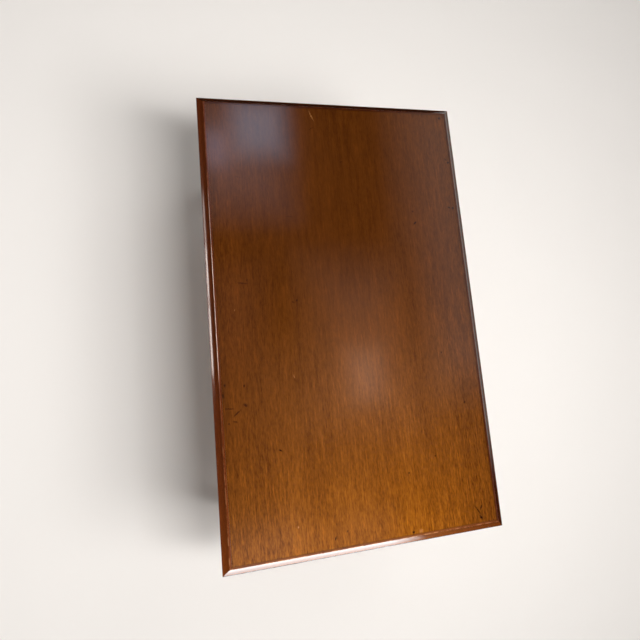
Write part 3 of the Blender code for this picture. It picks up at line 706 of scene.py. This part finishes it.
def make_eased(node, ease, material):
    """Copy of a wooden piece with its long edges rounded over and marked for wear."""
    shape = bmesh.new()
    shape.from_mesh(frame["nodes"][node].data)
    bmesh.ops.remove_doubles(shape, verts=shape.verts, dist=MERGE_DISTANCE * 10.0)
    bmesh.ops.dissolve_limit(
        shape, angle_limit=FLAT_ANGLE, use_dissolve_boundaries=False,
        verts=shape.verts, edges=shape.edges,
    )
    arrises = []
    for edge in shape.edges:
        if edge.is_manifold and edge.is_convex and edge.calc_length() > LONG_EDGE:
            if edge.calc_face_angle() > SMOOTH_ANGLE:
                arrises.append(edge)
    made = bmesh.ops.bevel(
        shape, geom=arrises, offset=ease, offset_type="OFFSET", segments=EASE_STEPS, profile=0.5,
        affect="EDGES", material=-1, clamp_overlap=True,
    )
    rounded = set(made["faces"])
    wear = shape.verts.layers.float.new("wear")
    for point in shape.verts:
        if point.link_faces and rounded.issuperset(point.link_faces):
            point[wear] = 1.0
    make_piece(f"finished_{node}", shape, material, node)


def make_frame_pieces(materials):
    """Legs, aprons, bearer, corner blocks and buttons."""
    for node in sorted(frame["nodes"]):
        if node.startswith("leg_"):
            make_eased(node, FRAME_EASE, materials["leg"])
        elif node.startswith("apron_"):
            wood = materials["frame_side" if node.endswith("_side") else "frame_end"]
            make_eased(node, FRAME_EASE, wood)
        elif node.startswith("corner_block_"):
            rising = node.endswith(("near_right", "far_left"))
            make_eased(node, SMALL_EASE, materials["beech_rising" if rising else "beech_falling"])
        elif node.startswith("button_") and not node.startswith("button_screw_"):
            wood = materials["beech_across" if "_side_" in node else "beech_along"]
            make_eased(node, SMALL_EASE, wood)
    make_eased("bearer", SMALL_EASE, materials["beech_across"])


def turned_shape(profile):
    """Round solid about +Z, from (radius, height) points that start and end on its axis."""
    shape = bmesh.new()
    points = [shape.verts.new((radius, 0.0, height)) for radius, height in profile]
    edges = [shape.edges.new(pair) for pair in zip(points, points[1:])]
    bmesh.ops.spin(
        shape, geom=points + edges, cent=(0.0, 0.0, 0.0), axis=(0.0, 0.0, 1.0),
        angle=2.0 * math.pi, steps=TURNED_STEPS, use_merge=True,
    )
    bmesh.ops.remove_doubles(shape, verts=shape.verts, dist=MERGE_DISTANCE)
    bmesh.ops.recalc_face_normals(shape, faces=shape.faces)
    return shape


def cut_slot(shape):
    """Slot across the flat face of a screw's head, at height 0."""
    for side in (-1.0, 1.0):
        cuts = (
            (SLOT_HALF_WIDTH, Vector((0.0, side, 0.0))),
            (SLOT_HALF_LENGTH, Vector((side, 0.0, 0.0))),
        )
        for reach, normal in cuts:
            head = [face for face in shape.faces if abs(face.calc_center_median().z) < MERGE_DISTANCE]
            parts = {part for face in head for part in (*face.verts, *face.edges)}
            bmesh.ops.bisect_plane(
                shape, geom=head + list(parts), dist=MERGE_DISTANCE,
                plane_co=normal * reach, plane_no=normal,
            )
    floor = []
    for face in shape.faces:
        middle = face.calc_center_median()
        inside = abs(middle.y) < SLOT_HALF_WIDTH and abs(middle.x) < SLOT_HALF_LENGTH
        if inside and abs(middle.z) < MERGE_DISTANCE:
            floor.append(face)
    made = bmesh.ops.extrude_face_region(shape, geom=floor)["geom"]
    sunk = [item for item in made if isinstance(item, bmesh.types.BMVert)]
    bmesh.ops.delete(shape, geom=floor, context="FACES_ONLY")
    bmesh.ops.translate(shape, vec=(0.0, 0.0, SLOT_DEPTH), verts=sunk)
    bmesh.ops.recalc_face_normals(shape, faces=shape.faces)


def make_screw(node, material):
    """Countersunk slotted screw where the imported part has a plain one."""
    low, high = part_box(node)
    sizes = high - low
    axis = max(range(3), key=lambda index: sizes[index])
    length = sizes[axis]
    head = min(sizes) / 2.0
    shank = head / 2.0
    shape = turned_shape([
        (0.0, 0.0), (head, 0.0), (shank, head - shank), (shank, length - SCREW_TIP), (0.0, length),
    ])
    cut_slot(shape)
    middle = (low + high) / 2.0
    direction = Vector((0.0, 0.0, 0.0))
    direction[axis] = 1.0 if axis == 2 else math.copysign(1.0, middle[axis])
    start = middle - direction * (length / 2.0)
    turn = Vector((0.0, 0.0, 1.0)).rotation_difference(direction).to_matrix().to_4x4()
    shape.transform(Matrix.Translation(start) @ turn)
    make_piece(f"slotted_{node}", shape, material, node)


def make_glide(node, material):
    """Nail-on glide with a domed foot."""
    low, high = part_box(node)
    radius = (high.x - low.x) / 2.0
    profile = [(radius * across, GLIDE_DOME * rise) for across, rise in GLIDE_CURVE]
    profile += [(radius, GLIDE_THICK - GLIDE_EASE), (radius - GLIDE_EASE, GLIDE_THICK)]
    profile += [(NAIL_RADIUS, GLIDE_THICK), (NAIL_RADIUS, high.z - NAIL_TIP), (0.0, high.z)]
    shape = turned_shape(profile)
    middle = (low + high) / 2.0
    shape.transform(Matrix.Translation((middle.x, middle.y, 0.0)))
    make_piece(f"domed_{node}", shape, material, node)


def make_fittings(materials):
    """Screws and glides."""
    for node in sorted(frame["nodes"]):
        if "_screw_" in node:
            make_screw(node, materials["screw"])
        elif node.startswith("glide_"):
            make_glide(node, materials["glide"])


def finish_panel(materials):
    """Finishes of the flat sheets and the core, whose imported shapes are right."""
    for node, finish in (("face_veneer", "field"), ("panel_core", "core"), ("backing_veneer", "backing")):
        mesh = frame["nodes"][node].data
        mesh.materials.clear()
        mesh.materials.append(materials[finish])


# Stage: floor, backdrop, lamps and cards
FLOOR_HALF = 15.0
FLOOR_COLOUR = linear(245, 241, 238)
FLOOR_MOTTLE = linear(243, 239, 236)
BACKDROP_COLOUR = linear(240, 234, 227)
OVERHEAD_COLOUR = linear(26, 24, 22)
# Distances from the table between which the floor runs out into the backdrop
SWEEP_START = 2.8
SWEEP_END = 6.5
# Rises, as parts of 1 straight up, between which the backdrop darkens overhead
OVERHEAD_START = 0.42
OVERHEAD_FULL = 0.75
AMBIENT_COLOUR = (1.0, 0.97, 0.93, 1.0)
AMBIENT_BRIGHTNESS = 0.28

# Lamps for the table alone
KEY_COLOUR = (1.0, 0.99, 0.97)
KEY_PLACE = (1.00, -0.45, 2.70)
LOW_KEY_PLACE = (1.00, -1.90, 2.70)
KEY_TARGET = (-0.50, -0.15, 0.0)
KEY_SIZE = (2.1, 0.9)
KEY_BRIGHTNESS = 1.13
LOW_KEY_BRIGHTNESS = 0.51
SHADED_MOULDINGS = ("moulded_lipping_right_side", "moulded_lipping_far_end")
FILL_PLACE = (-0.03, -0.80, 1.20)
FILL_TARGET = (-0.03, -0.50, TABLE_TOP)
FILL_SIZE = (0.7, 0.4)
FILL_BRIGHTNESS = 4.2
FILL_COLOUR = (1.0, 0.93, 0.82)

# Lamps for the floor alone: place, target, width and height, roll in degrees, brightness
FLOOR_KEYS = {
    "floor_key_middle": ((0.23, -0.29, 2.08), (-0.41, -0.17, 0.0), (0.77, 0.27), -21.0, 7.8),
    "floor_key_right": ((1.09, -0.75, 2.07), (-0.17, 0.36, 0.0), (0.80, 0.99), -49.0, 1.62),
    "floor_key_far": ((1.60, 1.50, 2.60), (1.00, 1.20, 0.0), (1.50, 1.50), 0.0, 0.12),
}

# Cards overhead that the polish mirrors: x, y, width and length, softness of the edge, brightness, colour
CEILING = 2.66
CARD_SHEETS = 4
SHEET_GAP = 0.01
CEILING_CARDS = {
    "far_pane": (0.04, 1.87, (0.42, 0.46), 0.15, 3.5, (0.56, 0.75, 1.0)),
    "far_pane_left": (-0.31, 1.68, (0.17, 0.28), 0.08, 3.2, (0.72, 0.74, 1.0)),
    "far_glow": (-0.14, 1.62, (0.72, 0.88), 0.3, 0.85, (0.95, 0.88, 1.0)),
    "warm_spot": (0.75, -0.20, (0.24, 0.38), 0.16, 3.6, (1.0, 0.58, 0.38)),
    "warm_glow": (0.78, -0.08, (0.50, 0.8), 0.40, 1.5, (1.0, 0.5, 0.3)),
    "middle_glow": (0.76, 0.12, (0.7, 1.1), 0.4, 0.5, (1.0, 0.9, 0.85)),
    "right_glow": (1.86, 0.95, (1.1, 2.6), 0.4, 0.75, (1.0, 0.95, 0.9)),
    "left_glow": (-0.23, 0.30, (0.35, 0.70), 0.3, 0.45, (1.0, 0.45, 0.32)),
    "near_left_haze": (-0.10, -0.50, (0.60, 1.10), 0.4, 0.20, (1.0, 0.60, 0.45)),
    "near_left_glow": (-0.20, -1.44, (0.7, 0.6), 0.3, 0.85, (1.0, 0.72, 0.62)),
    "near_edge_glow": (0.20, -1.42, (1.2, 0.30), 0.2, 0.28, (1.0, 0.8, 0.75)),
}

# Two rows of strips beside the left moulding: slope up from its edge in degrees, height, brightness
STRIP_REACH = 1.5
STRIP_COLOUR = (1.0, 0.93, 0.88)
STRIP_ROWS = {"left_low_strip": (32.5, 0.236, 18.0), "left_high_strip": (54.0, 0.42, 27.0)}
# Strips of each row: y, width, share of the row's brightness
STRIP_PARTS = {"near": (0.10, 0.40, 1.0), "middle": (0.50, 0.32, 1.0), "far": (0.84, 0.27, 0.4)}

# Pane beyond the near end, in sheets that end one after another on the right
NEAR_WINDOW_Y = -1.5
NEAR_WINDOW_START = -0.90
NEAR_WINDOW_ENDS = (0.38, 0.44, 0.50)
NEAR_WINDOW_LOW = 0.07
NEAR_WINDOW_HIGH = 0.84
NEAR_WINDOW_BRIGHTNESS = 3.3
NEAR_WINDOW_COLOUR = (0.96, 0.98, 1.0)

# Dark cards round about that the polish mirrors: place, target, width and height
FLAG_COLOUR = (0.004, 0.003, 0.003, 1.0)
DARK_FLAGS = {
    "left_flag": ((-2.2, 0.0, 1.0), (0.0, 0.0, 1.0), (4.4, 2.0)),
    "far_flag": ((-0.40, 1.25, 0.68), (-0.40, 0.0, 0.68), (2.2, 1.35)),
    "near_flag": ((0.0, -1.55, 0.55), (0.0, 0.0, 0.55), (4.4, 1.1)),
}
# The card on the right glows faintly, apart from its near end: its glow rises along Y between two places
RIGHT_FLAG = ((0.955, -0.15, 0.305), (0.0, -0.15, 0.305), (3.70, 0.60))
RIGHT_GLOW = 0.56
RIGHT_GLOW_COLOUR = (1.0, 0.95, 0.9, 1.0)
RIGHT_GLOW_RISE = (-0.66, -0.38)


def make_floor():
    """Plain pale floor that runs out into the backdrop, well away from the table."""
    material, tree, shader = new_material("pale_floor")
    place = put(tree, "TexCoord").outputs["Object"]
    away = put(tree, "VectorMath", {0: place}, operation="LENGTH").outputs["Value"]
    path = put(tree, "LightPath").outputs
    seen = worked(tree, "MAXIMUM", path["Is Camera Ray"], path["Is Glossy Ray"])
    share = worked(tree, "MULTIPLY", seen, stepped(tree, away, SWEEP_START, SWEEP_END))
    sweep = put(tree, "Emission", {"Color": BACKDROP_COLOUR})
    both = put(tree, "MixShader", {0: share, 1: shader.outputs[0], 2: sweep.outputs[0]})
    tree.links.new(both.outputs[0], tree.nodes["Material Output"].inputs["Surface"])
    mottle = noise(tree, place, (1.5, 1.5, 1.5), 2.0)
    tree.links.new(mixed(tree, mottle, FLOOR_MOTTLE, FLOOR_COLOUR), shader.inputs["Base Color"])
    shader.inputs["Roughness"].default_value = 0.9
    shader.inputs["Specular IOR Level"].default_value = 0.1
    shape = bmesh.new()
    bmesh.ops.create_grid(shape, x_segments=2, y_segments=2, size=FLOOR_HALF)
    mesh = bpy.data.meshes.new("floor")
    shape.to_mesh(mesh)
    shape.free()
    mesh.materials.append(material)
    floor = bpy.data.objects.new("floor", mesh)
    bpy.context.scene.collection.objects.link(floor)
    floor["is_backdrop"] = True
    return floor


def make_surroundings():
    """Pale horizon that darkens overhead, and a little light from all round."""
    world = bpy.data.worlds.new("studio")
    bpy.context.scene.world = world
    world.use_nodes = True
    tree = world.node_tree
    tree.nodes.clear()
    rise = put(tree, "SeparateXYZ", {0: put(tree, "TexCoord").outputs["Generated"]}).outputs["Z"]
    overhead = stepped(tree, rise, OVERHEAD_START, OVERHEAD_FULL)
    shown = mixed(tree, overhead, BACKDROP_COLOUR, OVERHEAD_COLOUR)
    backdrop = put(tree, "Background", {"Color": shown})
    ambient = put(tree, "Background", {"Color": AMBIENT_COLOUR, "Strength": AMBIENT_BRIGHTNESS})
    path = put(tree, "LightPath").outputs
    seen = worked(tree, "MAXIMUM", path["Is Camera Ray"], path["Is Glossy Ray"])
    seen = worked(tree, "MAXIMUM", seen, path["Is Transmission Ray"])
    both = put(tree, "MixShader", {0: seen, 1: ambient.outputs[0], 2: backdrop.outputs[0]})
    put(tree, "OutputWorld", {"Surface": both.outputs[0]})


def aimed(place, target):
    """Place of a lamp or card that faces a target."""
    turn = (Vector(target) - Vector(place)).to_track_quat("-Z", "Y").to_matrix().to_4x4()
    return Matrix.Translation(place) @ turn


def make_lamp(name, place, target, size, brightness, colour, diffuse, glossy):
    """Flat lamp of a width and height, as bright as so many sheets of white paper in plain light."""
    data = bpy.data.lights.new(name, "AREA")
    data.shape = "RECTANGLE"
    data.size, data.size_y = size
    data.energy = brightness * math.pi * size[0] * size[1]
    data.color = colour
    lamp = bpy.data.objects.new(name, data)
    lamp.matrix_world = aimed(place, target)
    lamp.visible_camera = False
    lamp.visible_diffuse = diffuse
    lamp.visible_glossy = glossy
    bpy.context.scene.collection.objects.link(lamp)
    return lamp


def make_flag(name, place, target, size):
    """Dark card that the polish mirrors, out of the camera's sight. Its node tree and shader come back."""
    material, tree, shader = new_material(name)
    shader.inputs["Base Color"].default_value = FLAG_COLOUR
    shader.inputs["Roughness"].default_value = 1.0
    shader.inputs["Specular IOR Level"].default_value = 0.0
    shape = bmesh.new()
    bmesh.ops.create_grid(shape, x_segments=1, y_segments=1, size=0.5)
    bmesh.ops.scale(shape, vec=(size[0], size[1], 1.0), verts=shape.verts)
    shape.transform(aimed(place, target))
    mesh = bpy.data.meshes.new(name)
    shape.to_mesh(mesh)
    shape.free()
    mesh.materials.append(material)
    flag = bpy.data.objects.new(name, mesh)
    flag.visible_camera = False
    flag.visible_diffuse = False
    flag.visible_shadow = False
    bpy.context.scene.collection.objects.link(flag)
    flag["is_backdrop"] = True
    return tree, shader


def make_right_flag():
    """Card on the right whose faint glow greys the right moulding, but not its near end."""
    tree, shader = make_flag("right_flag", *RIGHT_FLAG)
    along = put(tree, "SeparateXYZ", {0: put(tree, "TexCoord").outputs["Object"]}).outputs["Y"]
    rise = stepped(tree, along, *RIGHT_GLOW_RISE)
    glow = mixed(tree, rise, (0.0, 0.0, 0.0, 1.0), RIGHT_GLOW_COLOUR)
    tree.links.new(glow, shader.inputs["Emission Color"])
    shader.inputs["Emission Strength"].default_value = RIGHT_GLOW


def squared(place, target, roll):
    """Place of a lamp that faces a target, with its width across the table but for a roll."""
    back = (Vector(place) - Vector(target)).normalized()
    across = Vector((1.0, 0.0, 0.0))
    across = (across - back * across.dot(back)).normalized()
    turn = Matrix((across, back.cross(across), back)).transposed().to_4x4()
    return Matrix.Translation(place) @ turn @ Matrix.Rotation(roll, 4, "Z")


def make_key(name, place, target, size, brightness, pieces, roll=0.0):
    """Broad soft lamp over the right side, kept even with distance, for some pieces alone."""
    key = make_lamp(name, place, target, size, brightness, KEY_COLOUR, True, False)
    key.matrix_world = squared(place, target, roll)
    reach_only(key, pieces)
    key.data.use_nodes = True
    tree = key.data.node_tree
    even = put(tree, "LightFalloff", {"Strength": 1.0})
    tree.links.new(even.outputs["Constant"], tree.nodes["Emission"].inputs["Strength"])


def reach_only(lamp, pieces):
    """Let a lamp light only these pieces."""
    reach = bpy.data.collections.new(f"{lamp.name}_reach")
    for piece in pieces:
        reach.objects.link(piece)
    lamp.light_linking.receiver_collection = reach


def make_fill():
    """Warm fill over the near end, for the table alone."""
    fill = make_lamp(
        "near_fill", FILL_PLACE, FILL_TARGET, FILL_SIZE, FILL_BRIGHTNESS, FILL_COLOUR, True, False,
    )
    reach_only(fill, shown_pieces())


def make_ceiling_card(name, x, y, size, soft, brightness, colour):
    """Card overhead that shows only in the polish: sheets of growing size give it a soft edge."""
    for sheet in range(CARD_SHEETS):
        grow = soft * (2.0 * sheet / (CARD_SHEETS - 1.0) - 1.0)
        whole = (size[0] + grow, size[1] + grow)
        place = (x, y, CEILING + SHEET_GAP * sheet)
        share = brightness / CARD_SHEETS
        make_lamp(f"{name}_{sheet}", place, (x, y, 0.0), whole, share, colour, False, True)


def make_side_strip(name, slope, height, y, width, brightness):
    """Bright strip on the left, at an angle above the edge, that draws a line along the left moulding."""
    edge = (-HALF_X, y, TABLE_TOP)
    lean = math.radians(slope)
    place = (edge[0] - STRIP_REACH * math.cos(lean), y, edge[2] + STRIP_REACH * math.sin(lean))
    strip = make_lamp(name, place, edge, (width, height), brightness, STRIP_COLOUR, False, True)
    reach_only(strip, [moulding("left_side")])


def make_near_window(sheet, end):
    """Sheet of a bright pane beyond the near end, up to an end on the right, that whitens one moulding."""
    x = (NEAR_WINDOW_START + end) / 2.0
    z = (NEAR_WINDOW_LOW + NEAR_WINDOW_HIGH) / 2.0
    place = (x, NEAR_WINDOW_Y - SHEET_GAP * sheet, z)
    size = (end - NEAR_WINDOW_START, NEAR_WINDOW_HIGH - NEAR_WINDOW_LOW)
    pane = make_lamp(
        f"near_window_{sheet}", place, (x, 0.0, z), size, NEAR_WINDOW_BRIGHTNESS, NEAR_WINDOW_COLOUR,
        False, True,
    )
    reach_only(pane, [moulding("near_end")])


def moulding(side):
    """One of the four lengths of lipping."""
    return bpy.data.objects[f"moulded_lipping_{side}"]


def make_lighting(floor):
    """Keys, fill, and what the polish mirrors."""
    lit = [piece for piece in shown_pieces() if piece.name not in SHADED_MOULDINGS]
    make_key("key", KEY_PLACE, KEY_TARGET, KEY_SIZE, KEY_BRIGHTNESS, lit)
    make_key("low_key", LOW_KEY_PLACE, KEY_TARGET, KEY_SIZE, LOW_KEY_BRIGHTNESS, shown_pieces())
    for name, (place, target, size, roll, brightness) in FLOOR_KEYS.items():
        make_key(name, place, target, size, brightness, [floor], math.radians(roll))
    make_fill()
    for name, card in CEILING_CARDS.items():
        make_ceiling_card(name, *card)
    for label, (y, width, share) in STRIP_PARTS.items():
        for row, (slope, height, brightness) in STRIP_ROWS.items():
            make_side_strip(f"{row}_{label}", slope, height, y, width, brightness * share)
    for sheet, end in enumerate(NEAR_WINDOW_ENDS):
        make_near_window(sheet, end)
    for name, flag in DARK_FLAGS.items():
        make_flag(name, *flag)
    make_right_flag()


def make_camera():
    """Camera above the left side of the top."""
    data = bpy.data.cameras.new("camera")
    data.lens = CAMERA_LENS
    data.sensor_width = SENSOR_WIDTH
    camera = bpy.data.objects.new("camera", data)
    camera.location = CAMERA_PLACE
    camera.rotation_euler = Euler([math.radians(turn) for turn in CAMERA_TURN])
    bpy.context.scene.collection.objects.link(camera)
    bpy.context.scene.camera = camera


bpy.context.scene.view_settings.view_transform = "Standard"
finishes = make_materials()
make_lippings(finishes)
make_frame_pieces(finishes)
make_fittings(finishes)
finish_panel(finishes)
ground = make_floor()
make_surroundings()
make_lighting(ground)
make_camera()
